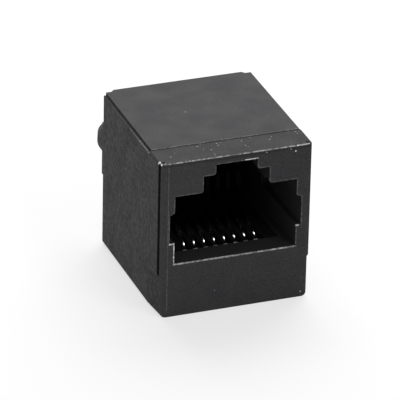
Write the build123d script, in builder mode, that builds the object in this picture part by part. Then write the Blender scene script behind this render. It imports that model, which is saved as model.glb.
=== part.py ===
"""Vertical modular jack for a printed circuit board, lying on its contact side.

X runs across the mouth, Y from the mouth back to the board, and Z from the contact side up to the latch side.
The origin is at the middle of the box around the whole jack, on the face that it lies on. Lengths are millimetres.
"""

import math
import os

from build123d import *

# Housing envelope
BODY_WIDTH = 15.24
BODY_HEIGHT = 16.26
BODY_DEPTH = 16.43
BOTTOM_CORNER_RADIUS = 0.40

# Front collar: the stretch that stands in a panel's cut-out
COLLAR_DEPTH = 3.13
COLLAR_TOP_STEP = 0.07
COLLAR_TOP_ROUND = 0.22
SIDE_RELIEF = 0.28
SIDE_RELIEF_HEIGHT = 4.20
CORNER_GROOVE_WIDTH = 0.27
CORNER_GROOVE_SINK = 0.60
CORNER_LIP_THICKNESS = 0.15
CORNER_LIP_DEPTH = 0.12
CORNER_LIP_SETBACK = 0.12
FRONT_BEVEL_WIDTH = 0.73
FRONT_EDGE_CHAMFER = 0.09

# Long top edges and rear corners behind the collar
TOP_REBATE_WIDTH = 0.22
TOP_REBATE_HEIGHT = 0.30
REAR_CORNER_WIDTH = 1.10
REAR_CORNER_CUT = 0.34

# Mouth, latch notch and the pocket that holds the plug's latch
MOUTH_FLOOR_Z = 5.55
MOUTH_WIDTH = 12.20
MOUTH_HEIGHT = 7.10
LATCH_WIDTH = 6.60
LATCH_HEIGHT = 1.70
LEVER_WIDTH = 4.16
LEVER_HEIGHT = 1.05
NOTCH_CORNER_RADIUS = 0.28
LATCH_WALL = 1.30
LATCH_POCKET_DEPTH = 11.60
REAR_WALL = 1.50
MOUTH_LIP_CHAMFER = 0.11

# Key slots in the mouth's side walls
KEY_SLOT_CUT = 0.50
KEY_SLOT_Z = 7.75
KEY_SLOT_HEIGHT = 2.95
KEY_SLOT_RAMP = 0.27
KEY_SLOT_DEPTH = 9.20

# Contacts: round spring wire, bent over a knuckle behind the floor's lip
CONTACT_COUNT = 8
CONTACT_PITCH = 1.02
WIRE_DIAMETER = 0.46
KNUCKLE_RADIUS = 0.87
KNUCKLE_DEPTH = 5.08
BEAM_ANGLE = 23.0
BEAM_TIP_REACH = 2.20
JOG_RADIUS = 0.46
JOG_INSET = 0.83
TIP_CHAMFER = 0.08

# Carrier: the insert that holds the wires and slides in from the board side
FLOOR_LIP_DEPTH = 2.35
BOTTOM_WALL = 0.60
PLUG_STOP_DEPTH = 10.20
COMB_DEPTH = 2.90
COMB_TOP_Z = 9.00
COMB_SIDE_WALL = 0.46
CARRIER_SHOULDER = 0.85
SLOT_CLEARANCE = 0.09
TUNNEL_CLEARANCE = 0.01
CARRIER_CLEARANCE = 0.05
NOSE_CLEARANCE = 0.10
CORE_WALL = 0.75
CORE_DEPTH = 1.90

# Snap barbs under the carrier, and their windows in the housing's bottom wall
BARB_SPACING = 6.40
BARB_WIDTH = 1.80
BARB_LENGTH = 1.50
BARB_DROP = 0.45
BARB_REAR_DEPTH = 13.20
BARB_PLAY = 0.12

# Board side: stand-off pads, locating posts and the two rows of solder tails
STANDOFF = 0.50
TAIL_REACH = 3.30
POST_Z = 9.98
POST_SPACING = 11.43
POST_DIAMETER = 3.25
POST_STRAIGHT = 1.75
POST_REACH = 3.30
POST_TIP_DIAMETER = 2.10
POST_SLOT_WIDTH = 0.80
POST_SLOT_DEPTH = 2.00
PAD_INSET = 0.17
PAD_WIDTH = 3.40
PAD_HEIGHT = 5.50
FOOT_WIDTH = 1.50
FOOT_HEIGHT = 1.50
FOOT_INSET = 0.60
FIRST_ROW_DROP = 6.35
ROW_SPACING = 2.54

# Marks that the mould leaves: ejector pins on the board side, and the gate underneath
EJECTOR_DIAMETER = 1.50
EJECTOR_SINK = 0.06
EJECTOR_SPACING = 8.60
EJECTOR_DROP = 1.75
GATE_WELL_DIAMETER = 2.20
GATE_WELL_DEPTH = 0.18
GATE_STUB_DIAMETER = 0.80
GATE_STUB_HEIGHT = 0.10
GATE_DEPTH = 6.20

# Places worked out from the sizes above
MOUTH_Y = -(BODY_DEPTH + STANDOFF + TAIL_REACH) / 2
HALF_WIDTH = BODY_WIDTH / 2
SHOULDER_Z = MOUTH_FLOOR_Z + MOUTH_HEIGHT
LATCH_TOP_Z = SHOULDER_Z + LATCH_HEIGHT
SEAT_DEPTH = BODY_DEPTH + STANDOFF
TAIL_TIP_DEPTH = SEAT_DEPTH + TAIL_REACH
WIRE_RADIUS = WIRE_DIAMETER / 2
RUN_Z = POST_Z - FIRST_ROW_DROP
LOW_ROW_Z = RUN_Z - ROW_SPACING
CONTACT_SPAN = (CONTACT_COUNT - 1) * CONTACT_PITCH
SLOT_WIDTH = WIRE_DIAMETER + 2 * SLOT_CLEARANCE
TUNNEL_RADIUS = WIRE_RADIUS + TUNNEL_CLEARANCE
COMB_WIDTH = CONTACT_SPAN + SLOT_WIDTH + 2 * COMB_SIDE_WALL
CARRIER_WIDTH = COMB_WIDTH + 2 * CARRIER_SHOULDER
CARRIER_TOP_Z = MOUTH_FLOOR_Z - CARRIER_CLEARANCE
CARRIER_NOSE_DEPTH = FLOOR_LIP_DEPTH + NOSE_CLEARANCE
SLOT_FLOOR_Z = RUN_Z - TUNNEL_RADIUS
SLOT_REAR_DEPTH = PLUG_STOP_DEPTH + COMB_DEPTH
BEAM_TIP_DEPTH = PLUG_STOP_DEPTH + BEAM_TIP_REACH


def behind_mouth(depth):
    """Upright plane across the jack, this far behind the mouth's face; its own Y axis points up."""
    return Plane.XZ.offset(-(MOUTH_Y + depth))


def lengthwise(x):
    """Upright plane along the jack at this X; its own X axis is the frame's Y."""
    return Plane.YZ.offset(x)


def at_depth(depth):
    """The frame's Y for a distance behind the mouth's face."""
    return MOUTH_Y + depth


# Housing: one black moulding, from its outline to its mouth, its board side and its edges
with BuildPart() as housing:
    with BuildSketch(behind_mouth(0)):
        Rectangle(BODY_WIDTH, BODY_HEIGHT, align=(Align.CENTER, Align.MIN))
    extrude(amount=-BODY_DEPTH)

    # Rear corners, cut back so that the moulding clears solder fillets
    with BuildSketch(Plane.XY):
        with BuildLine():
            Polyline(
                (HALF_WIDTH, at_depth(BODY_DEPTH)),
                (HALF_WIDTH - REAR_CORNER_WIDTH, at_depth(BODY_DEPTH)),
                (HALF_WIDTH - REAR_CORNER_WIDTH + REAR_CORNER_CUT, at_depth(BODY_DEPTH - REAR_CORNER_CUT)),
                (HALF_WIDTH, at_depth(BODY_DEPTH - REAR_CORNER_CUT)),
                close=True,
            )
        make_face()
        mirror(about=Plane.YZ)
    extrude(amount=BODY_HEIGHT, mode=Mode.SUBTRACT)

    # Top of the collar, a hair lower than the rest, with a broken front edge and rounded long edges
    with BuildSketch(behind_mouth(0)):
        with Locations((0, BODY_HEIGHT)):
            Rectangle(BODY_WIDTH, COLLAR_TOP_STEP, align=(Align.CENTER, Align.MAX))
    extrude(amount=-COLLAR_DEPTH, mode=Mode.SUBTRACT)
    chamfer(
        housing.faces().sort_by(Axis.Y)[0].edges().sort_by(Axis.Z)[-1],
        length=FRONT_EDGE_CHAMFER,
    )
    fillet(
        [
            edge
            for edge in housing.edges().filter_by(Axis.Y)
            if math.isclose(edge.center().Z, BODY_HEIGHT - COLLAR_TOP_STEP)
        ],
        radius=COLLAR_TOP_ROUND,
    )

    # Rebates along the long top edges behind the collar
    with BuildSketch(behind_mouth(BODY_DEPTH)):
        with Locations((HALF_WIDTH, BODY_HEIGHT)):
            Rectangle(TOP_REBATE_WIDTH, TOP_REBATE_HEIGHT, align=(Align.MAX, Align.MAX))
        mirror(about=Plane.YZ)
    extrude(amount=BODY_DEPTH - COLLAR_DEPTH, mode=Mode.SUBTRACT)

    # Side relief at the foot of the collar: deepest at the mouth, run out at the collar's back
    for side in (-1, 1):
        with BuildSketch(behind_mouth(0)):
            with BuildLine():
                Polyline(
                    (side * HALF_WIDTH, 0),
                    (side * (HALF_WIDTH - SIDE_RELIEF), 0),
                    (side * (HALF_WIDTH - SIDE_RELIEF), SIDE_RELIEF_HEIGHT),
                    (side * HALF_WIDTH, SIDE_RELIEF_HEIGHT + SIDE_RELIEF),
                    close=True,
                )
            make_face()
        extrude(
            amount=math.hypot(SIDE_RELIEF, COLLAR_DEPTH),
            dir=(side * SIDE_RELIEF, COLLAR_DEPTH, 0),
            mode=Mode.SUBTRACT,
        )

    # Rounded bottom corners, along the foot and on to the board side
    fillet(
        [
            edge
            for edge in housing.faces().sort_by(Axis.Z)[0].edges()
            if abs(edge.tangent_at(0).Y) > abs(edge.tangent_at(0).X)
        ],
        radius=BOTTOM_CORNER_RADIUS,
    )

    # Front corners: a shallow bevel to a set-back lip, and the groove behind that lip
    with BuildSketch(Plane.XY):
        with BuildLine():
            Polyline(
                (HALF_WIDTH, MOUTH_Y),
                (HALF_WIDTH - CORNER_LIP_SETBACK - FRONT_BEVEL_WIDTH, MOUTH_Y),
                (HALF_WIDTH - CORNER_LIP_SETBACK, at_depth(CORNER_LIP_DEPTH)),
                (HALF_WIDTH, at_depth(CORNER_LIP_DEPTH)),
                close=True,
            )
        make_face()
        mirror(about=Plane.YZ)
    extrude(amount=BODY_HEIGHT, mode=Mode.SUBTRACT)
    with BuildSketch(Plane.XY.offset(SIDE_RELIEF_HEIGHT)):
        with Locations((HALF_WIDTH, at_depth(CORNER_LIP_DEPTH + CORNER_LIP_THICKNESS))):
            Rectangle(CORNER_GROOVE_SINK, CORNER_GROOVE_WIDTH, align=(Align.MAX, Align.MIN))
        with Locations((HALF_WIDTH, at_depth(CORNER_LIP_DEPTH))):
            Rectangle(CORNER_LIP_SETBACK, CORNER_LIP_THICKNESS, align=(Align.MAX, Align.MIN))
        mirror(about=Plane.YZ)
    extrude(amount=BODY_HEIGHT - SIDE_RELIEF_HEIGHT, mode=Mode.SUBTRACT)

    # Mouth: the plug's space with the stepped latch notch over it
    with BuildSketch(behind_mouth(0)) as mouth:
        with Locations((0, MOUTH_FLOOR_Z)):
            Rectangle(MOUTH_WIDTH, MOUTH_HEIGHT, align=(Align.CENTER, Align.MIN))
        with Locations((0, SHOULDER_Z)):
            Rectangle(LATCH_WIDTH, LATCH_HEIGHT, align=(Align.CENTER, Align.MIN))
        with Locations((0, LATCH_TOP_Z)):
            Rectangle(LEVER_WIDTH, LEVER_HEIGHT, align=(Align.CENTER, Align.MIN))
        fillet(
            [
                corner
                for level, half in ((SHOULDER_Z, LATCH_WIDTH / 2), (LATCH_TOP_Z, LEVER_WIDTH / 2))
                for corner in mouth.vertices()
                if math.isclose(corner.Y, level) and math.isclose(abs(corner.X), half)
            ],
            radius=NOTCH_CORNER_RADIUS,
        )
    extrude(amount=-LATCH_WALL, mode=Mode.SUBTRACT)
    with BuildSketch(behind_mouth(LATCH_WALL)):
        with Locations((0, SHOULDER_Z)):
            Rectangle(LATCH_WIDTH, LATCH_HEIGHT + LEVER_HEIGHT, align=(Align.CENTER, Align.MIN))
    extrude(amount=-(LATCH_POCKET_DEPTH - LATCH_WALL), mode=Mode.SUBTRACT)
    with BuildSketch(behind_mouth(LATCH_WALL)):
        with Locations((0, MOUTH_FLOOR_Z)):
            Rectangle(MOUTH_WIDTH, MOUTH_HEIGHT, align=(Align.CENTER, Align.MIN))
    extrude(amount=-(BODY_DEPTH - REAR_WALL - LATCH_WALL), mode=Mode.SUBTRACT)

    # Key slots in both side walls, square below and ramped above
    with BuildSketch(behind_mouth(0)):
        with BuildLine():
            Polyline(
                (MOUTH_WIDTH / 2, KEY_SLOT_Z),
                (MOUTH_WIDTH / 2 + KEY_SLOT_CUT, KEY_SLOT_Z),
                (MOUTH_WIDTH / 2 + KEY_SLOT_CUT, KEY_SLOT_Z + KEY_SLOT_HEIGHT),
                (MOUTH_WIDTH / 2, KEY_SLOT_Z + KEY_SLOT_HEIGHT + KEY_SLOT_RAMP),
                close=True,
            )
        make_face()
        mirror(about=Plane.YZ)
    extrude(amount=-KEY_SLOT_DEPTH, mode=Mode.SUBTRACT)

    # Board side: pads round the posts and two feet, all in the board's plane
    with BuildSketch(behind_mouth(SEAT_DEPTH)):
        with Locations((HALF_WIDTH - PAD_INSET, POST_Z)):
            Rectangle(PAD_WIDTH, PAD_HEIGHT, align=(Align.MAX, Align.CENTER))
        with Locations((HALF_WIDTH - FOOT_INSET, FOOT_INSET)):
            Rectangle(FOOT_WIDTH, FOOT_HEIGHT, align=(Align.MAX, Align.MIN))
        mirror(about=Plane.YZ)
    extrude(amount=STANDOFF + REAR_CORNER_CUT)

    # Split locating posts: straight through the board, then coned
    for x in (-POST_SPACING / 2, POST_SPACING / 2):
        with BuildSketch(lengthwise(x)):
            with BuildLine():
                Polyline(
                    (at_depth(SEAT_DEPTH), POST_Z),
                    (at_depth(SEAT_DEPTH), POST_Z + POST_DIAMETER / 2),
                    (at_depth(SEAT_DEPTH + POST_STRAIGHT), POST_Z + POST_DIAMETER / 2),
                    (at_depth(SEAT_DEPTH + POST_REACH), POST_Z + POST_TIP_DIAMETER / 2),
                    (at_depth(SEAT_DEPTH + POST_REACH), POST_Z),
                    close=True,
                )
            make_face()
        revolve(axis=Axis((x, 0, POST_Z), (0, 1, 0)))
    with BuildSketch(behind_mouth(SEAT_DEPTH + POST_REACH)):
        with Locations((-POST_SPACING / 2, POST_Z), (POST_SPACING / 2, POST_Z)):
            Rectangle(POST_SLOT_WIDTH, POST_DIAMETER)
    extrude(amount=POST_SLOT_DEPTH, mode=Mode.SUBTRACT)

    # Space that the carrier slides into from the board side
    with BuildSketch(behind_mouth(SEAT_DEPTH)):
        with Locations((0, BOTTOM_WALL)):
            Rectangle(
                CARRIER_WIDTH + 2 * CARRIER_CLEARANCE,
                MOUTH_FLOOR_Z - BOTTOM_WALL,
                align=(Align.CENTER, Align.MIN),
            )
    extrude(amount=SEAT_DEPTH - FLOOR_LIP_DEPTH, mode=Mode.SUBTRACT)
    with BuildSketch(behind_mouth(SEAT_DEPTH)):
        with Locations((0, MOUTH_FLOOR_Z)):
            Rectangle(
                COMB_WIDTH + 2 * CARRIER_CLEARANCE,
                COMB_TOP_Z + CARRIER_CLEARANCE - MOUTH_FLOOR_Z,
                align=(Align.CENTER, Align.MIN),
            )
    extrude(amount=STANDOFF + REAR_WALL, mode=Mode.SUBTRACT)

    # Windows in the bottom wall for the carrier's barbs
    with BuildSketch(Plane.XY):
        with Locations(
            (-BARB_SPACING / 2, at_depth(BARB_REAR_DEPTH + BARB_PLAY)),
            (BARB_SPACING / 2, at_depth(BARB_REAR_DEPTH + BARB_PLAY)),
        ):
            Rectangle(
                BARB_WIDTH + 2 * BARB_PLAY,
                BARB_LENGTH + 2 * BARB_PLAY,
                align=(Align.CENTER, Align.MAX),
            )
    extrude(amount=BOTTOM_WALL, mode=Mode.SUBTRACT)

    # Ejector pin marks on the board side
    with BuildSketch(behind_mouth(BODY_DEPTH)):
        with Locations(
            (-EJECTOR_SPACING / 2, BODY_HEIGHT - EJECTOR_DROP),
            (EJECTOR_SPACING / 2, BODY_HEIGHT - EJECTOR_DROP),
        ):
            Circle(EJECTOR_DIAMETER / 2)
    extrude(amount=EJECTOR_SINK, mode=Mode.SUBTRACT)

    # Gate well underneath, with the stub that the runner leaves when it breaks off
    with BuildSketch(Plane.XY):
        with Locations((0, at_depth(GATE_DEPTH))):
            Circle(GATE_WELL_DIAMETER / 2)
    extrude(amount=GATE_WELL_DEPTH, mode=Mode.SUBTRACT)
    with BuildSketch(Plane.XY.offset(GATE_WELL_DEPTH)):
        with Locations((0, at_depth(GATE_DEPTH))):
            Circle(GATE_STUB_DIAMETER / 2)
    extrude(amount=-GATE_STUB_HEIGHT)

    # Lead-in along the mouth's lower lip
    chamfer(
        [
            edge
            for edge in housing.edges().filter_by(Axis.X)
            if math.isclose(edge.center().Y, MOUTH_Y) and math.isclose(edge.center().Z, MOUTH_FLOOR_Z)
        ],
        length=MOUTH_LIP_CHAMFER,
    )
housing.part.label = "housing"

# Carrier: base slab and upright comb in one moulding, slotted for each wire
contact_places = [(index - (CONTACT_COUNT - 1) / 2) * CONTACT_PITCH for index in range(CONTACT_COUNT)]
low_row_places = contact_places[1::2]

with BuildPart() as contact_carrier:
    with BuildSketch(lengthwise(0)):
        with Locations((at_depth(CARRIER_NOSE_DEPTH), BOTTOM_WALL)):
            Rectangle(
                BODY_DEPTH - CARRIER_NOSE_DEPTH,
                CARRIER_TOP_Z - BOTTOM_WALL,
                align=(Align.MIN, Align.MIN),
            )
    extrude(amount=CARRIER_WIDTH / 2, both=True)
    with BuildSketch(lengthwise(0)):
        with Locations((at_depth(PLUG_STOP_DEPTH), CARRIER_TOP_Z)):
            Rectangle(
                BODY_DEPTH - PLUG_STOP_DEPTH,
                COMB_TOP_Z - CARRIER_TOP_Z,
                align=(Align.MIN, Align.MIN),
            )
    extrude(amount=COMB_WIDTH / 2, both=True)

    # Slots that the beams spring down into, from the nose to the back of the comb
    for x in contact_places:
        with BuildSketch(lengthwise(x)):
            with Locations((at_depth(CARRIER_NOSE_DEPTH), SLOT_FLOOR_Z)):
                Rectangle(
                    SLOT_REAR_DEPTH - CARRIER_NOSE_DEPTH,
                    COMB_TOP_Z - SLOT_FLOOR_Z,
                    align=(Align.MIN, Align.MIN),
                )
        extrude(amount=SLOT_WIDTH / 2, both=True, mode=Mode.SUBTRACT)

    # Tunnels for the straight runs, and grooves on the board side for the low row's jogs
    with BuildSketch(behind_mouth(SLOT_REAR_DEPTH)):
        with Locations([(x, RUN_Z) for x in contact_places]):
            Circle(TUNNEL_RADIUS)
    extrude(amount=-(BODY_DEPTH - SLOT_REAR_DEPTH), mode=Mode.SUBTRACT)
    with BuildSketch(behind_mouth(BODY_DEPTH)):
        with Locations([(x, (RUN_Z + LOW_ROW_Z) / 2) for x in low_row_places]):
            Rectangle(2 * TUNNEL_RADIUS, ROW_SPACING + 2 * TUNNEL_RADIUS)
    extrude(amount=JOG_INSET + JOG_RADIUS + TUNNEL_RADIUS, mode=Mode.SUBTRACT)

    # Core pocket behind the comb, which keeps the walls even
    with BuildSketch(behind_mouth(BODY_DEPTH)):
        with Locations((0, CARRIER_TOP_Z)):
            Rectangle(
                COMB_WIDTH - 2 * CORE_WALL,
                COMB_TOP_Z - CARRIER_TOP_Z - CORE_WALL,
                align=(Align.CENTER, Align.MIN),
            )
    extrude(amount=CORE_DEPTH, mode=Mode.SUBTRACT)

    # Snap barbs, ramped towards the nose
    for x in (-BARB_SPACING / 2, BARB_SPACING / 2):
        with BuildSketch(lengthwise(x)):
            with BuildLine():
                Polyline(
                    (at_depth(BARB_REAR_DEPTH - BARB_LENGTH), BOTTOM_WALL),
                    (at_depth(BARB_REAR_DEPTH), BOTTOM_WALL),
                    (at_depth(BARB_REAR_DEPTH), BOTTOM_WALL - BARB_DROP),
                    close=True,
                )
            make_face()
        extrude(amount=BARB_WIDTH / 2, both=True)
contact_carrier.part.label = "contact_carrier"


def wire_path(low_row):
    """Line of a contact in its own plane: tail, run to the front, knuckle, and beam back up to its tip."""
    slope = math.radians(BEAM_ANGLE)
    knuckle_y = at_depth(KNUCKLE_DEPTH)
    knuckle_z = RUN_Z + KNUCKLE_RADIUS
    beam_y = knuckle_y - KNUCKLE_RADIUS * math.sin(slope)
    beam_z = knuckle_z + KNUCKLE_RADIUS * math.cos(slope)
    tip_y = at_depth(BEAM_TIP_DEPTH)
    tip_z = beam_z + (tip_y - beam_y) * math.tan(slope)
    tail_y = at_depth(TAIL_TIP_DEPTH)
    if low_row:
        jog_y = at_depth(BODY_DEPTH - JOG_INSET)
        Line((tail_y, LOW_ROW_Z), (jog_y + JOG_RADIUS, LOW_ROW_Z))
        RadiusArc((jog_y + JOG_RADIUS, LOW_ROW_Z), (jog_y, LOW_ROW_Z + JOG_RADIUS), JOG_RADIUS)
        Line((jog_y, LOW_ROW_Z + JOG_RADIUS), (jog_y, RUN_Z - JOG_RADIUS))
        RadiusArc((jog_y, RUN_Z - JOG_RADIUS), (jog_y - JOG_RADIUS, RUN_Z), -JOG_RADIUS)
        Line((jog_y - JOG_RADIUS, RUN_Z), (knuckle_y, RUN_Z))
    else:
        Line((tail_y, RUN_Z), (knuckle_y, RUN_Z))
    ThreePointArc(
        (knuckle_y, RUN_Z),
        (knuckle_y - KNUCKLE_RADIUS, knuckle_z),
        (beam_y, beam_z),
    )
    Line((beam_y, beam_z), (tip_y, tip_z))


# Contacts: one bent spring wire each, odd ones straight into the high row, even ones jogged to the low row
contacts = []
for number, x in enumerate(contact_places, start=1):
    low_row = number % 2 == 0
    tail_z = LOW_ROW_Z if low_row else RUN_Z
    with BuildPart() as contact:
        with BuildLine(lengthwise(x)) as route:
            wire_path(low_row)
        with BuildSketch(Plane(origin=(x, at_depth(TAIL_TIP_DEPTH), tail_z), z_dir=(0, -1, 0))):
            Circle(WIRE_RADIUS)
        sweep(path=route.wire())
        chamfer(
            contact.faces().filter_by(GeomType.PLANE).edges(),
            length=TIP_CHAMFER,
        )
    contact.part.label = f"contact_{number}"
    contacts.append(contact)

os.makedirs("parts", exist_ok=True)
for piece in (housing, contact_carrier, *contacts):
    export_step(piece.part, f"parts/{piece.part.label}.step")
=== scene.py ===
"""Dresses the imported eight-way board jack for a studio picture.

The two black mouldings keep the construction model's shapes and get a dull, grained skin, the
eight spring wires are drawn as smooth round wire, and floor, light and camera make a plain studio.
Everything is in metres, in the frame of the construction model.
"""

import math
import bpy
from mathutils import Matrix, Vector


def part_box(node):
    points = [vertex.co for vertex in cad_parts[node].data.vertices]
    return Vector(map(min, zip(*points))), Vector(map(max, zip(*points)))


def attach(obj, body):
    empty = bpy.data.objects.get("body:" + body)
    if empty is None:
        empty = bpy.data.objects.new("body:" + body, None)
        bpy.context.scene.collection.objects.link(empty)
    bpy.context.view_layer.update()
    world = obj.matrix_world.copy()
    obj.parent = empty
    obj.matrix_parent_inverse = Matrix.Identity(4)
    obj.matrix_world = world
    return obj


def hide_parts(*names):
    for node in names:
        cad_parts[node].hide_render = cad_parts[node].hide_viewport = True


bl_info = {
    "name": "Board jack",
    "version": (1, 0, 0),
    "blender": (4, 5, 0),
    "location": "3D Viewport > Sidebar > Jack",
    "description": "Dresses the packed eight-way board jack with plastic, plated wire and a studio",
    "category": "Object",
}

import bmesh
import bpy
import numpy as np
from bpy.props import FloatProperty, FloatVectorProperty, PointerProperty
from mathutils import Matrix, Vector

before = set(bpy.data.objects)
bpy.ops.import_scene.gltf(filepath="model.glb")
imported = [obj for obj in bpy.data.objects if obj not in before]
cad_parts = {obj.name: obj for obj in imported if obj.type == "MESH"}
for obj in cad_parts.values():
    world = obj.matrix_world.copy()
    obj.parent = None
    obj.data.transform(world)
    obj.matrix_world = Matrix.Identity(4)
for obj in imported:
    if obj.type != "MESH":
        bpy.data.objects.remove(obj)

MM = 0.001


def linear(code):
    """An sRGB hex colour as four linear numbers."""
    parts = [int(code[i : i + 2], 16) / 255 for i in (1, 3, 5)]
    lit = (p / 12.92 if p <= 0.04045 else ((p + 0.055) / 1.055) ** 2.4 for p in parts)
    return (*lit, 1.0)


WHITE = linear("#FFFFFF")
# Near black for the painted shade in the gap beside the collar's front corner
PAINTED_GAP_SHADE = linear("#0A0A0A")
DUST_GREY = linear("#B9B9B6")

# Places on the mouldings: lowest and highest corner in millimetres
MOUTH_INSIDE = (-6.65, -9.94, 0.5), (6.65, 6.2, 15.9)
COLLAR_TOP = (-7.6, -10.2, 15.8), (7.6, -6.99, 16.4)
# A painted highlight line along the shallow edge where the front's corner bevel starts
BEVEL_EDGE_HIGHLIGHT = (-6.79, -10.2, 0.6), (-6.75, -10.05, 15.9)

# The same for places that are mirrored over X and Y
# Painted black shade in the gap beside the collar's front corner
CORNER_GAP = (6.95, 9.49, 4.25), (7.7, 9.92, 16.05)
# Painted shade on the riser of the rebate along the top
REBATE_RISER = (7.38, 0.0, 15.98), (7.42, 6.9, 16.2)

# Edges and chamfers with painted highlight lines: strength, and lowest and highest corner in
# millimetres
EDGE_LIGHTS = (
    (0.14, (-6.75, -10.2, 5.75), (6.75, -9.98, 15.6)),  # mouth and latch notch
    (0.3, (-7.7, -6.9, 15.85), (-7.5, -4.2, 16.05)),  # rebate along the top
    (0.13, (-7.7, -4.2, 15.85), (-7.5, -1.5, 16.05)),
    (0.2, (-7.4, -7.1, 16.1), (7.4, -6.9, 16.4)),  # back of the collar
    (0.35, (-7.7, -9.5, 4.1), (-7.5, -6.9, 4.6)),  # relief at the side's foot
    (0.15, (-7.7, 6.9, 8.2), (7.7, 10.2, 11.8)),  # locating posts
    (1.0, (-4.3, -7.75, 5.2), (3.7, -7.55, 5.6)),  # ribs at the carrier's nose
)

# Places painted pale all over as highlights and glints, and two specks of dust, in the same form
PAINTED_BRIGHT_SPOTS = (
    (0.62, (-7.45, -10.2, 16.11), (6.0, -10.04, 16.3)),  # front top edge
    (1.8, (6.0, -10.2, 16.11), (7.55, -10.04, 16.3)),
    (0.65, (-6.2, -10.2, 5.45), (6.2, -10.02, 5.56)),  # mouth's lower lip
    (1.0, (-6.2, -10.2, 5.5), (-6.11, -10.02, 7.75)),  # upright edge at the lip's end
    (1.6, (-6.65, -10.2, 7.66), (-6.1, -10.0, 7.78)),  # feet of the key slots
    (2.0, (6.1, -10.2, 7.66), (6.4, -10.0, 7.78)),
    (1.5, (0.8, -10.2, 15.4), (2.1, -10.02, 15.5)),  # top of the latch notch
    (3.0, (-7.7, -10.06, 16.04), (-7.40, -9.4, 16.3)),  # painted glint at the front corner
    (3.0, (5.80, -10.2, 15.56), (5.90, -10.0, 15.66)),  # specks on the front
    (3.0, (6.73, -10.2, 0.49), (6.81, -10.0, 0.57)),
)

# Dust: width of a cell in millimetres, size of its speck as a share of that, and share of cells
# that stay bare. The first layer lies everywhere, and the second on the collar's top
DUST_LAYERS = (1.5, 0.035, 0.62), (0.5, 0.11, 0.6)

# Grain on the sides, as a share of the fine grain's frequency along X, Y and Z
SIDE_GRAIN = (0.42, 0.42, 0.3)

# Edges of the mouldings: an edge is smooth under the first angle in degrees, and under the second
# where one of its faces is a strip narrower than the width
FLAT_TURN, CURVE_TURN, STRIP_WIDTH = 3, 25, 0.5 * MM

# Camera, from the photograph: degrees, and millimetres for what follows
AZIMUTH, ELEVATION, ROLL = 20.75, 27.13, 1.26
AIM = (0, -1.9, 8.135)
DISTANCE, SLIDE_LEFT, SLIDE_DOWN = 433.4, 0.51, 0.68
LENS, SENSOR = 408.24, 36

# Lamps: name, place and size in metres, and the setting that holds the power
LAMPS = (
    ("softbox", (0.10, 0.26, 0.30), (0.42, 0.34), "softbox"),
    ("front light", (0.134, -0.265, 0.308), (0.15, 0.075), "front_light"),
)
LAMP_TARGET = (0, 0, 8 * MM)
FLOOR_HALF = 1.5
FLOOR_LEVEL = -0.01 * MM


class MouldingSettings(bpy.types.PropertyGroup):
    """Finish of the two black mouldings, with colours for painted shade and painted highlights."""

    plastic: FloatVectorProperty(
        name="Plastic",
        description="Colour of the black moulding compound",
        subtype="COLOR",
        size=4,
        min=0,
        max=1,
        default=linear("#3A3A3A"),
    )
    plastic_cool: FloatVectorProperty(
        name="Cool patches",
        description="Colour of the slightly bluer patches in the compound",
        subtype="COLOR",
        size=4,
        min=0,
        max=1,
        default=linear("#39393C"),
    )
    # Painted shade: the housing takes this darker colour inside the mouth
    core: FloatVectorProperty(
        name="Core side",
        description="Colour of the housing inside the mouth, where the mould's core is polished",
        subtype="COLOR",
        size=4,
        min=0,
        max=1,
        default=linear("#2A2A2B"),
    )
    # Painted shade: the carrier takes this near-black colour where it shows in the mouth
    carrier: FloatVectorProperty(
        name="Carrier in the mouth",
        description="Colour of the carrier's deeper black where it shows between the wires",
        subtype="COLOR",
        size=4,
        min=0,
        max=1,
        default=linear("#131313"),
    )
    # Painted highlights: edges, chamfers, glints and a few specks take this pale colour
    highlit: FloatVectorProperty(
        name="Rubbed edge",
        description="Colour of the compound where an edge is rubbed or has a trace of flash",
        subtype="COLOR",
        size=4,
        min=0,
        max=1,
        default=linear("#F2F2F0"),
    )
    edge_radius: FloatProperty(
        name="Edge radius",
        description="Radius that the mould leaves along every edge, drawn by the shading",
        unit="LENGTH",
        precision=6,
        min=0,
        default=0.07 * MM,
    )
    grain: FloatProperty(
        name="Grain",
        description="Width of the grain that the mould's spark-eroded walls print on the plastic",
        unit="LENGTH",
        precision=6,
        min=0.01 * MM,
        default=0.13 * MM,
    )


class WireSettings(bpy.types.PropertyGroup):
    """Size and plating of the eight spring wires."""

    diameter: FloatProperty(
        name="Diameter",
        description="Diameter of the spring wire",
        unit="LENGTH",
        precision=6,
        min=0.1 * MM,
        default=0.46 * MM,
    )
    gold: FloatVectorProperty(
        name="Gold",
        description="Colour of the pale gold plating at the knuckle and the start of the beam",
        subtype="COLOR",
        size=4,
        min=0,
        max=1,
        default=linear("#E3E1DC"),
    )
    # Painted shade: this nickel is far darker than bare nickel, as the beam lies in shade in the
    # cavity
    shaded_nickel: FloatVectorProperty(
        name="Nickel",
        description="Colour of the nickel that shows beyond the gold, along the free beam",
        subtype="COLOR",
        size=4,
        min=0,
        max=1,
        default=linear("#5C5A55"),
    )
    tin: FloatVectorProperty(
        name="Tin",
        description="Colour of the tin on the solder tails",
        subtype="COLOR",
        size=4,
        min=0,
        max=1,
        default=linear("#C9C8C4"),
    )


class StudioSettings(bpy.types.PropertyGroup):
    """Floor and light."""

    floor: FloatVectorProperty(
        name="Floor",
        description="Colour of the floor",
        subtype="COLOR",
        size=4,
        min=0,
        max=1,
        default=linear("#DADAD9"),
    )
    softbox: FloatProperty(
        name="Softbox",
        description="Power of the softbox above and behind the jack",
        unit="POWER",
        min=0,
        default=1.8,
    )
    front_light: FloatProperty(
        name="Front light",
        description="Power of the small light at the front right, which draws the wires' glints",
        unit="POWER",
        min=0,
        default=0.3,
    )


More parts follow.
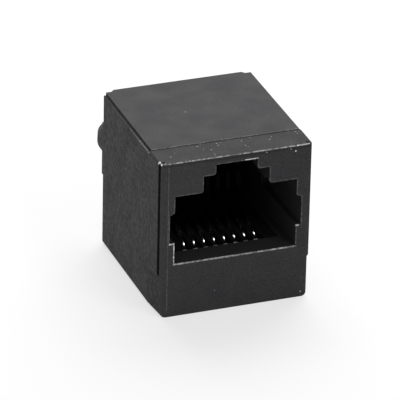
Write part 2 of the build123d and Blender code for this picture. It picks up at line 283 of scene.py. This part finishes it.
def add(tree, kind, inputs=(), **settings):
    """A new shader node with its settings, and each given input set or joined to a socket."""
    node = tree.nodes.new("ShaderNode" + kind)
    for name, value in settings.items():
        setattr(node, name, value)
    for name, value in dict(inputs).items():
        if isinstance(value, bpy.types.NodeSocket):
            tree.links.new(value, node.inputs[name])
        else:
            node.inputs[name].default_value = value
    return node


def blank_material(name):
    """A material with an empty node tree and its output node."""
    material = bpy.data.materials.new(name)
    material.use_nodes = True
    material.node_tree.nodes.clear()
    return material, material.node_tree, add(material.node_tree, "OutputMaterial")


def inside_box(tree, place, box, soft):
    """1 inside a box and 0 outside it, fading over the width soft, all in millimetres.

    The distance outside is the largest part of the vector |place - centre| - half size.
    """
    low, high = (np.array(corner) * MM for corner in box)
    centre, half = (low + high) / 2, (high - low) / 2
    offset = add(tree, "VectorMath", {0: place, 1: centre}, operation="SUBTRACT").outputs[0]
    offset = add(tree, "VectorMath", {0: offset}, operation="ABSOLUTE").outputs[0]
    offset = add(tree, "VectorMath", {0: offset, 1: half}, operation="SUBTRACT").outputs[0]
    parts = add(tree, "SeparateXYZ", {"Vector": offset}).outputs
    furthest = parts[0]
    for part in parts[1:]:
        furthest = add(tree, "Math", {0: furthest, 1: part}, operation="MAXIMUM").outputs[0]
    fade = {"Value": furthest, "From Min": soft * MM, "From Max": 0}
    return add(tree, "MapRange", fade).outputs["Result"]


def brightest(tree, place, base, spots, soft):
    """The largest of a base value and, for each spot, its strength inside its box."""
    for strength, *box in spots:
        spot = inside_box(tree, place, box, soft)
        spot = add(tree, "Math", {0: spot, 1: strength}, operation="MULTIPLY").outputs[0]
        base = add(tree, "Math", {0: base, 1: spot}, operation="MAXIMUM").outputs[0]
    return base


def moulded_grain(tree, place, facing, width):
    """Height of the grain that the mould prints, and a factor for the colour that swings with it.

    The height is fine noise of the given width, and coarser, slightly upright noise on the sides.
    The factor is 1 where the height is 0.5, and swings between 0.3 and 1.7, most on the sides.
    """
    level = add(tree, "Math", {0: facing[2]}, operation="ABSOLUTE").outputs[0]
    on_side = add(tree, "Math", {0: facing[0]}, operation="ABSOLUTE").outputs[0]
    fine = {"Vector": place, "Scale": 1 / width, "Detail": 3, "Roughness": 0.7}
    even = add(tree, "TexNoise", fine).outputs["Fac"]
    stretch = {"Vector": place, "Scale": tuple(share / width for share in SIDE_GRAIN)}
    upright = add(tree, "Mapping", stretch).outputs[0]
    coarse = {"Vector": upright, "Scale": 1, "Detail": 5, "Roughness": 0.75}
    drawn = add(tree, "TexNoise", coarse).outputs["Fac"]
    grain = add(tree, "Mix", {0: on_side, 2: even, 3: drawn}, data_type="FLOAT").outputs[0]

    flatter = {"Value": level, "To Min": 1.7, "To Max": 1.3}
    depth = add(tree, "MapRange", flatter).outputs["Result"]
    deeper = {0: on_side, 1: 2.3, 2: depth}
    depth = add(tree, "Math", deeper, operation="MULTIPLY_ADD").outputs[0]
    swing = add(tree, "Math", {0: grain, 1: 0.5}, operation="SUBTRACT").outputs[0]
    centred = {0: swing, 1: depth, 2: 0.5}
    swing = add(tree, "Math", centred, operation="MULTIPLY_ADD", use_clamp=True).outputs[0]
    factor = {"Value": swing, "To Min": 0.3, "To Max": 1.7}
    return grain, add(tree, "MapRange", factor).outputs["Result"]


def painted_edge_highlights(tree, place, outer):
    """Share of painted highlight: along sharp edges and in the painted bright spots, broken by
    noise.

    A ray that starts inwards from a sharp edge soon meets the edge's other face, which lowers the
    occlusion there.
    """
    near = {"Distance": 0.12 * MM}
    sunk = add(tree, "AmbientOcclusion", near, inside=True, only_local=True, samples=12)
    steep = {"Value": sunk.outputs["AO"], "From Min": 0.98, "From Max": 0.84}
    edge = add(tree, "MapRange", steep).outputs["Result"]
    lit = add(tree, "Math", {0: outer, 1: 0.02}, operation="MULTIPLY").outputs[0]
    lit = brightest(tree, place, lit, EDGE_LIGHTS, 0.04)
    highlight_share = add(tree, "Math", {0: edge, 1: lit}, operation="MULTIPLY").outputs[0]
    highlight_share = brightest(tree, place, highlight_share, PAINTED_BRIGHT_SPOTS, 0.02)
    highlight_share = brightest(tree, place, highlight_share, [(0.12, *BEVEL_EDGE_HIGHLIGHT)], 0.03)

    rough = {"Vector": place, "Scale": 1 / (0.3 * MM), "Detail": 5, "Roughness": 0.75}
    patches = add(tree, "TexNoise", rough).outputs["Fac"]
    gaps = {"Value": patches, "From Min": 0.46, "From Max": 0.56, "To Min": 0.25}
    broken = add(tree, "MapRange", gaps).outputs["Result"]
    return add(tree, "Math", {0: highlight_share, 1: broken}, operation="MULTIPLY").outputs[0]


def dust_specks(tree, place, outer, collar):
    """Share of dust: a round speck in the middle of some cells, in two layers."""
    layers = []
    for width, size, bare in DUST_LAYERS:
        cells = add(tree, "TexVoronoi", {"Vector": place, "Scale": 1 / (width * MM)}).outputs
        rim = {"Value": cells["Distance"], "From Min": 1.4 * size, "From Max": 0.6 * size}
        speck = add(tree, "MapRange", rim).outputs["Result"]
        draw = add(tree, "SeparateColor", {"Color": cells["Color"]}).outputs["Red"]
        rare = add(tree, "Math", {0: draw, 1: bare}, operation="GREATER_THAN").outputs[0]
        layers.append(add(tree, "Math", {0: speck, 1: rare}, operation="MULTIPLY").outputs[0])
    crowd = add(tree, "Math", {0: layers[1], 1: collar}, operation="MULTIPLY").outputs[0]
    dust = add(tree, "Math", {0: layers[0], 1: crowd}, operation="MAXIMUM").outputs[0]
    return add(tree, "Math", {0: dust, 1: outer}, operation="MULTIPLY").outputs[0]


def moulded_plastic(name, settings, inside, roughness, gloss):
    """Glass-filled black thermoplastic, from a spark-eroded mould, with painted shade and
    highlights.

    That gives a dull skin outside, finely grained and coarser on the sides, with a few specks of
    dust and painted highlight lines along some edges, and inside the mouth a darker, even colour as
    painted shade.
    """
    material, tree, output = blank_material(name)
    coordinates = add(tree, "TexCoord").outputs
    place = coordinates["Object"]
    facing = add(tree, "SeparateXYZ", {"Vector": coordinates["Normal"]}).outputs
    where = add(tree, "SeparateXYZ", {"Vector": place}).outputs
    mirrored = add(tree, "VectorMath", {0: place}, operation="ABSOLUTE").outputs[0]

    inner = inside_box(tree, place, MOUTH_INSIDE, 0.06)
    outer = add(tree, "Math", {0: 1.0, 1: inner}, operation="SUBTRACT").outputs[0]
    collar = inside_box(tree, place, COLLAR_TOP, 0.02)
    # Masks for painted shade: the gap at the collar's corner and the rebate's riser
    gap_shade = inside_box(tree, mirrored, CORNER_GAP, 0.015)
    riser_shade = inside_box(tree, mirrored, REBATE_RISER, 0.03)
    grain, value = moulded_grain(tree, place, facing, settings.grain)
    highlight_share = painted_edge_highlights(tree, place, outer)
    dust = dust_specks(tree, place, outer, collar)

    # Skin outside: darker on the collar, and painted shade on the rebate's riser; on the faces that
    # look front or back, a painted light slope, paler on the left and darker on the right
    half = 7.6 * MM
    paler = {"Value": where["X"], "From Min": -half, "From Max": half}
    paler.update({"To Min": 0.14, "To Max": -0.16})
    painted_front_light = add(tree, "MapRange", paler).outputs["Result"]
    on_front = add(tree, "Math", {0: facing[1]}, operation="ABSOLUTE").outputs[0]
    for share, change in ((collar, -0.3), (on_front, painted_front_light), (riser_shade, -0.5)):
        shift = {0: share, 1: change, 2: value}
        value = add(tree, "Math", shift, operation="MULTIPLY_ADD").outputs[0]
    patches = {"Vector": place, "Scale": 1 / (2.4 * MM), "Detail": 4}
    mottle = add(tree, "TexNoise", patches).outputs["Fac"]
    weak = {"Value": mottle, "From Min": 0.45, "From Max": 0.6, "To Max": 0.7}
    tint = add(tree, "MapRange", weak).outputs["Result"]
    tones = {0: tint, 6: tuple(settings.plastic), 7: tuple(settings.plastic_cool)}
    colour = add(tree, "Mix", tones, data_type="RGBA").outputs[2]
    colour = add(tree, "HueSaturation", {"Color": colour, "Value": value}).outputs["Color"]

    # Skin inside: painted shade in the mouth, darker towards the back of the cavity
    fall = {"Value": where["Y"], "From Min": -4 * MM, "From Max": 1 * MM}
    fall.update({"To Min": 0.8, "To Max": 0.5})
    depth_shade = add(tree, "MapRange", fall).outputs["Result"]
    core = add(tree, "HueSaturation", {"Color": tuple(inside), "Value": depth_shade}).outputs["Color"]
    # Over the skin go painted black shade in the corner gap, painted highlights and glints, and
    # dust
    for share, layer in (
        (inner, core),
        (gap_shade, PAINTED_GAP_SHADE),
        (highlight_share, tuple(settings.highlit)),
        (dust, DUST_GREY),
    ):
        colour = add(tree, "Mix", {0: share, 6: colour, 7: layer}, data_type="RGBA").outputs[2]

    patchy = {"Value": mottle, "From Min": 0.3, "From Max": 0.7}
    patchy.update({"To Min": roughness - 0.04, "To Max": roughness + 0.06})
    rough = add(tree, "MapRange", patchy).outputs["Result"]
    for share, other in ((inner, 0.75), (highlight_share, 0.35)):
        rough = add(tree, "Mix", {0: share, 2: rough, 3: other}, data_type="FLOAT").outputs[0]

    height = add(tree, "Math", {0: grain, 1: outer}, operation="MULTIPLY").outputs[0]
    rounded = add(tree, "Bevel", {"Radius": settings.edge_radius}, samples=8).outputs["Normal"]
    relief = {"Height": height, "Strength": 0.3, "Distance": 0.012 * MM, "Normal": rounded}
    bump = add(tree, "Bump", relief).outputs["Normal"]
    skin = {"Base Color": colour, "Roughness": rough, "Normal": bump}
    skin.update({"IOR": 1.5, "Specular IOR Level": gloss})
    shader = add(tree, "BsdfPrincipled", skin)
    tree.links.new(shader.outputs[0], output.inputs["Surface"])
    return material


def plated_wire(name, settings):
    """Drawn phosphor-bronze wire, plated with nickel, then gold at the knuckle and tin at the tail.

    That gives a smooth pale shine with faint draw lines at the knuckle, a duller beam behind it
    whose darker colour is painted shade, and a greyer, dull skin on the tail.
    """
    material, tree, output = blank_material(name)
    place = add(tree, "TexCoord").outputs["Object"]
    depth = add(tree, "SeparateXYZ", {"Vector": place}).outputs["Y"]
    to_tail = {"Value": depth, "From Min": 4.4 * MM, "From Max": 4.9 * MM}
    tinned = add(tree, "MapRange", to_tail).outputs["Result"]
    # Along the beam the colour turns from gold to the dark nickel, as painted shade
    to_beam = {"Value": depth, "From Min": -5.2 * MM, "From Max": -3.7 * MM}
    bare = add(tree, "MapRange", to_beam).outputs["Result"]
    spring = {0: bare, 6: tuple(settings.gold), 7: tuple(settings.shaded_nickel)}
    colour = add(tree, "Mix", spring, data_type="RGBA").outputs[2]
    tail = {0: tinned, 6: colour, 7: tuple(settings.tin)}
    colour = add(tree, "Mix", tail, data_type="RGBA").outputs[2]

    lines = {"Vector": place, "Scale": tuple(1 / (width * MM) for width in (0.06, 1.8, 0.25))}
    stretched = add(tree, "Mapping", lines).outputs[0]
    noise = {"Vector": stretched, "Scale": 1, "Detail": 2}
    draw = add(tree, "TexNoise", noise).outputs["Fac"]
    duller = {"Value": depth, "From Min": -5.5 * MM, "From Max": -4.9 * MM}
    duller.update({"To Min": 0.09, "To Max": 0.2})
    dull = add(tree, "MapRange", duller).outputs["Result"]
    drawn = {0: draw, 1: 0.06, 2: dull}
    smooth = add(tree, "Math", drawn, operation="MULTIPLY_ADD").outputs[0]
    rough = add(tree, "Mix", {0: tinned, 2: smooth, 3: 0.42}, data_type="FLOAT").outputs[0]
    metal = {"Base Color": colour, "Metallic": 1.0, "Roughness": rough}
    shader = add(tree, "BsdfPrincipled", metal)
    tree.links.new(shader.outputs[0], output.inputs["Surface"])
    return material


def merged_copy(node, name, finish):
    """A copy of a node with its corners merged, smooth over curved faces and sharp along edges.

    An edge is smooth where its faces hardly turn, or turn a little and one of them is the narrow
    strip of a curved face. A triangle's width over an edge is twice its area divided by the
    edge's length.
    """
    mesh = bpy.data.meshes.new(name)
    work = bmesh.new()
    work.from_mesh(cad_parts[node].data)
    for face in work.faces:
        face.smooth = True
    bmesh.ops.remove_doubles(work, verts=work.verts, dist=0.0005 * MM)
    for edge in work.edges:
        turn = math.degrees(edge.calc_face_angle(0))
        width = min(2 * face.calc_area() / edge.calc_length() for face in edge.link_faces)
        edge.smooth = turn < FLAT_TURN or (turn < CURVE_TURN and width < STRIP_WIDTH)
    work.to_mesh(mesh)
    work.free()
    mesh.materials.clear()
    mesh.materials.append(finish)
    mesh.polygons.foreach_set("material_index", np.zeros(len(mesh.polygons), np.int32))
    piece = bpy.data.objects.new(name, mesh)
    bpy.context.scene.collection.objects.link(piece)
    even = piece.modifiers.new("Flat faces stay flat", "WEIGHTED_NORMAL")
    even.mode = "FACE_AREA"
    even.weight = 100
    even.keep_sharp = True
    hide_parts(node)
    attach(piece, "root")
    return piece


def arc(centre, radius, start, end, count=18):
    """Points of an arc in the (y, z) plane: centre plus radius times (cos, sin) of each angle."""
    turn = np.radians(np.linspace(start, end, count))
    return np.column_stack((centre[0] + radius * np.cos(turn), centre[1] + radius * np.sin(turn)))


def wire_line(low_row):
    """Centre line of a contact in its own plane, in metres, from the tail's tip to the beam's tip.

    Straight runs joined by arcs: the low row steps up to the run's height behind the comb, and
    every wire turns back over a knuckle into the beam, which climbs at a slope. The tail's tip is
    as far behind the origin as the mouth is in front of it.
    """
    mouth, run, low = -10.115, 3.63, 1.09
    knuckle_depth, tip_depth, jog_depth = 5.08, 12.40, 15.60
    bend, turn, climb = 0.87, 0.46, 23
    slope = math.radians(climb)
    knuckle = (mouth + knuckle_depth, run + bend)
    beam = np.array(knuckle) + bend * np.array((-math.sin(slope), math.cos(slope)))
    reach = mouth + tip_depth
    tip = np.array((reach, beam[1] + (reach - beam[0]) * math.tan(slope)))
    if low_row:
        jog = mouth + jog_depth
        tail = [
            [(-mouth, low)],
            arc((jog + turn, low + turn), turn, 270, 180),
            arc((jog - turn, run - turn), turn, 0, 90),
        ]
    else:
        tail = [[(-mouth, run)]]
    return MM * np.concatenate(tail + [arc(knuckle, bend, 270, 90 + climb, 40), [tip]])


def round_wire(name, x, line, radius, around=28):
    """Round wire along a line in the plane at x.

    Each ring is the line's point plus radius times (cos of the angle along the line's normal, sin
    along X). The rings close in at both ends to a small bevel and a flat cut with a pole in its
    middle.
    """
    keep = np.concatenate(([True], np.linalg.norm(np.diff(line, axis=0), axis=1) > 1e-9))
    line = line[keep]
    step = np.diff(line, axis=0)
    step /= np.linalg.norm(step, axis=1)[:, None]
    tangent = np.vstack((step[:1], step[:-1] + step[1:], step[-1:]))
    tangent /= np.linalg.norm(tangent, axis=1)[:, None]
    bevel = 0.3 * radius
    ends = np.array((0, bevel))[:, None]
    first, last = line[0] + ends * tangent[0], line[-1] - ends[::-1] * tangent[-1]
    line = np.vstack((first, line[1:-1], last))
    tangent = np.vstack((tangent[:1], tangent, tangent[-1:]))
    size = np.full(len(line), radius)
    size[[0, -1]] -= bevel
    normal = np.column_stack((-tangent[:, 1], tangent[:, 0]))
    angle = np.linspace(0, 2 * math.pi, around, endpoint=False)
    out = (size[:, None] * np.cos(angle))[:, :, None]
    rings = np.empty((len(line), around, 3))
    rings[:, :, 0] = x + size[:, None] * np.sin(angle)
    rings[:, :, 1:] = line[:, None, :] + out * normal[:, None, :]
    poles = np.array([[x, *line[0]], [x, *line[-1]]])
    points = np.vstack((rings.reshape(-1, 3), poles))

    here = np.arange(around)
    after = (here + 1) % around
    base = around * np.arange(len(line) - 1)[:, None]
    corners = (base + here, base + after, base + around + after, base + around + here)
    sides = np.stack(corners, axis=-1).reshape(-1, 4)
    end = around * (len(line) - 1)
    first_cap = np.column_stack((np.full(around, len(points) - 2), after, here))
    last_cap = np.column_stack((np.full(around, len(points) - 1), end + here, end + after))
    mesh = bpy.data.meshes.new(name)
    mesh.from_pydata(points.tolist(), [], sides.tolist() + first_cap.tolist() + last_cap.tolist())
    mesh.shade_smooth()
    mesh.set_sharp_from_angle(angle=math.radians(40))
    piece = bpy.data.objects.new(name, mesh)
    bpy.context.scene.collection.objects.link(piece)
    return piece


def seen_by(tree, *kinds):
    """1 for the given kinds of ray and 0 for the others."""
    rays = add(tree, "LightPath").outputs
    seen = rays[kinds[0]]
    for kind in kinds[1:]:
        seen = add(tree, "Math", {0: seen, 1: rays[kind]}, operation="MAXIMUM").outputs[0]
    return seen


def look_from(place, target):
    """Matrix that stands at place and looks along its own -Z at target."""
    aim = (target - place).to_track_quat("-Z", "Y")
    return Matrix.Translation(place) @ aim.to_matrix().to_4x4()


def pale_floor(scene, colour):
    """A matt pale sheet, lifted towards white where it is seen, so large that no edge shows."""
    mesh = bpy.data.meshes.new("floor")
    corners = ((-1, -1), (1, -1), (1, 1), (-1, 1))
    points = [(x * FLOOR_HALF, y * FLOOR_HALF, FLOOR_LEVEL) for x, y in corners]
    mesh.from_pydata(points, [], [(0, 1, 2, 3)])
    floor = bpy.data.objects.new("floor", mesh)
    scene.collection.objects.link(floor)
    material, tree, output = blank_material("pale card floor")
    seen = seen_by(tree, "Is Camera Ray", "Is Glossy Ray")
    shade = add(tree, "Mix", {0: seen, 6: colour, 7: WHITE}, data_type="RGBA").outputs[2]
    card = add(tree, "BsdfDiffuse", {"Color": shade}).outputs[0]
    glow = add(tree, "Emission", {"Color": WHITE, "Strength": 1.0}).outputs[0]
    lifted = add(tree, "Math", {0: seen, 1: 0.65}, operation="MULTIPLY").outputs[0]
    sheet = add(tree, "MixShader", {0: lifted, 1: card, 2: glow})
    tree.links.new(sheet.outputs[0], output.inputs["Surface"])
    mesh.materials.append(material)


def white_room(scene):
    """An even white world, at full white where it is seen, mirrored or looked through to."""
    world = bpy.data.worlds.new("white room")
    world.use_nodes = True
    tree = world.node_tree
    tree.nodes.clear()
    seen = seen_by(tree, "Is Camera Ray", "Is Glossy Ray", "Is Transmission Ray")
    room = add(tree, "Background", {"Color": WHITE, "Strength": 0.35}).outputs[0]
    white = add(tree, "Background", {"Color": WHITE, "Strength": 1.0}).outputs[0]
    mix = add(tree, "MixShader", {0: seen, 1: room, 2: white})
    tree.links.new(mix.outputs[0], add(tree, "OutputWorld").inputs["Surface"])
    scene.world = world


def photo_camera(scene):
    """A camera at the photograph's viewing angle and framing.

    It stands back from the aim along the line of sight, turned by the roll, and slid a little left
    and down in its own plane.
    """
    azimuth, elevation, roll = (math.radians(angle) for angle in (AZIMUTH, ELEVATION, ROLL))
    back = Vector(
        (
            -math.sin(azimuth) * math.cos(elevation),
            -math.cos(azimuth) * math.cos(elevation),
            math.sin(elevation),
        )
    )
    right = (-back).cross(Vector((0, 0, 1))).normalized()
    up = right.cross(-back)
    across = math.cos(roll) * right + math.sin(roll) * up
    above = math.cos(roll) * up - math.sin(roll) * right
    slide = across * SLIDE_LEFT + above * SLIDE_DOWN
    spot = (Vector(AIM) + back * DISTANCE - slide) * MM
    lens = bpy.data.cameras.new("camera")
    lens.lens = LENS
    lens.sensor_width = SENSOR
    camera = bpy.data.objects.new("camera", lens)
    turned = Matrix((across, above, back)).transposed().to_4x4()
    camera.matrix_world = Matrix.Translation(spot) @ turned
    scene.collection.objects.link(camera)
    scene.camera = camera


class JACK_OT_housing(bpy.types.Operator):
    """Gives the housing its dull black skin"""

    bl_idname = "jack.housing"
    bl_label = "Housing"

    def execute(self, context):
        settings = context.scene.jack_moulding
        # Inside the mouth the housing takes the darker core colour, as painted shade
        finish = moulded_plastic(
            "spark-eroded black plastic", settings, settings.core, roughness=0.78, gloss=0.25
        )
        piece = merged_copy("housing", "housing_shell", finish)
        return {"FINISHED"}


class JACK_OT_carrier(bpy.types.Operator):
    """Gives the contact carrier its satin black skin"""

    bl_idname = "jack.carrier"
    bl_label = "Contact carrier"

    def execute(self, context):
        settings = context.scene.jack_moulding
        # In the mouth the carrier takes its near-black colour, as painted shade
        finish = moulded_plastic(
            "satin black plastic", settings, settings.carrier, roughness=0.6, gloss=0.1
        )
        piece = merged_copy("contact_carrier", "carrier_insert", finish)
        return {"FINISHED"}


class JACK_OT_wires(bpy.types.Operator):
    """Draws the eight spring wires, with gold knuckles, nickel beams darkened as painted shade, and
    tinned tails
    """

    bl_idname = "jack.wires"
    bl_label = "Spring wires"

    def execute(self, context):
        settings = context.scene.jack_wire
        finish = plated_wire("gold and tin plated wire", settings)
        for number in range(1, 9):
            low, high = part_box(f"contact_{number}")
            middle = (low.x + high.x) / 2
            line = wire_line(number % 2 == 0)
            piece = round_wire(f"spring_wire_{number}", middle, line, settings.diameter / 2)
            piece.data.materials.append(finish)
            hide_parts(f"contact_{number}")
            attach(piece, "root")
        return {"FINISHED"}


class JACK_OT_studio(bpy.types.Operator):
    """Sets the floor, the light and the camera"""

    bl_idname = "jack.studio"
    bl_label = "Studio"

    def execute(self, context):
        scene = context.scene
        settings = scene.jack_studio
        pale_floor(scene, tuple(settings.floor))
        white_room(scene)

        # The softbox gives the top its sheen, and the small light draws the glints
        for name, place, size, power in LAMPS:
            lamp = bpy.data.lights.new(name, "AREA")
            lamp.shape = "RECTANGLE"
            lamp.size, lamp.size_y = size
            lamp.energy = getattr(settings, power)
            box = bpy.data.objects.new(name, lamp)
            box.matrix_world = look_from(Vector(place), Vector(LAMP_TARGET))
            scene.collection.objects.link(box)

        photo_camera(scene)
        scene.view_settings.view_transform = "Standard"
        return {"FINISHED"}


class JACK_PT_panel(bpy.types.Panel):
    """The jack's pieces and their settings"""

    bl_idname = "JACK_PT_panel"
    bl_label = "Board jack"
    bl_space_type = "VIEW_3D"
    bl_region_type = "UI"
    bl_category = "Jack"

    def draw(self, context):
        scene = context.scene
        for settings in (scene.jack_moulding, scene.jack_wire, scene.jack_studio):
            for name in settings.__annotations__:
                self.layout.prop(settings, name)
        for piece in PIECES:
            self.layout.operator(piece.bl_idname)


PIECES = (JACK_OT_housing, JACK_OT_carrier, JACK_OT_wires, JACK_OT_studio)
CLASSES = (MouldingSettings, WireSettings, StudioSettings, *PIECES, JACK_PT_panel)


def register():
    for kind in CLASSES:
        bpy.utils.register_class(kind)
    bpy.types.Scene.jack_moulding = PointerProperty(type=MouldingSettings)
    bpy.types.Scene.jack_wire = PointerProperty(type=WireSettings)
    bpy.types.Scene.jack_studio = PointerProperty(type=StudioSettings)


def unregister():
    for name in ("jack_moulding", "jack_wire", "jack_studio"):
        delattr(bpy.types.Scene, name)
    for kind in reversed(CLASSES):
        bpy.utils.unregister_class(kind)


def main():
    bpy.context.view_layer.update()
    register()
    bpy.ops.jack.housing()
    bpy.ops.jack.carrier()
    bpy.ops.jack.wires()
    bpy.ops.jack.studio()


if __name__ == "__main__":
    main()
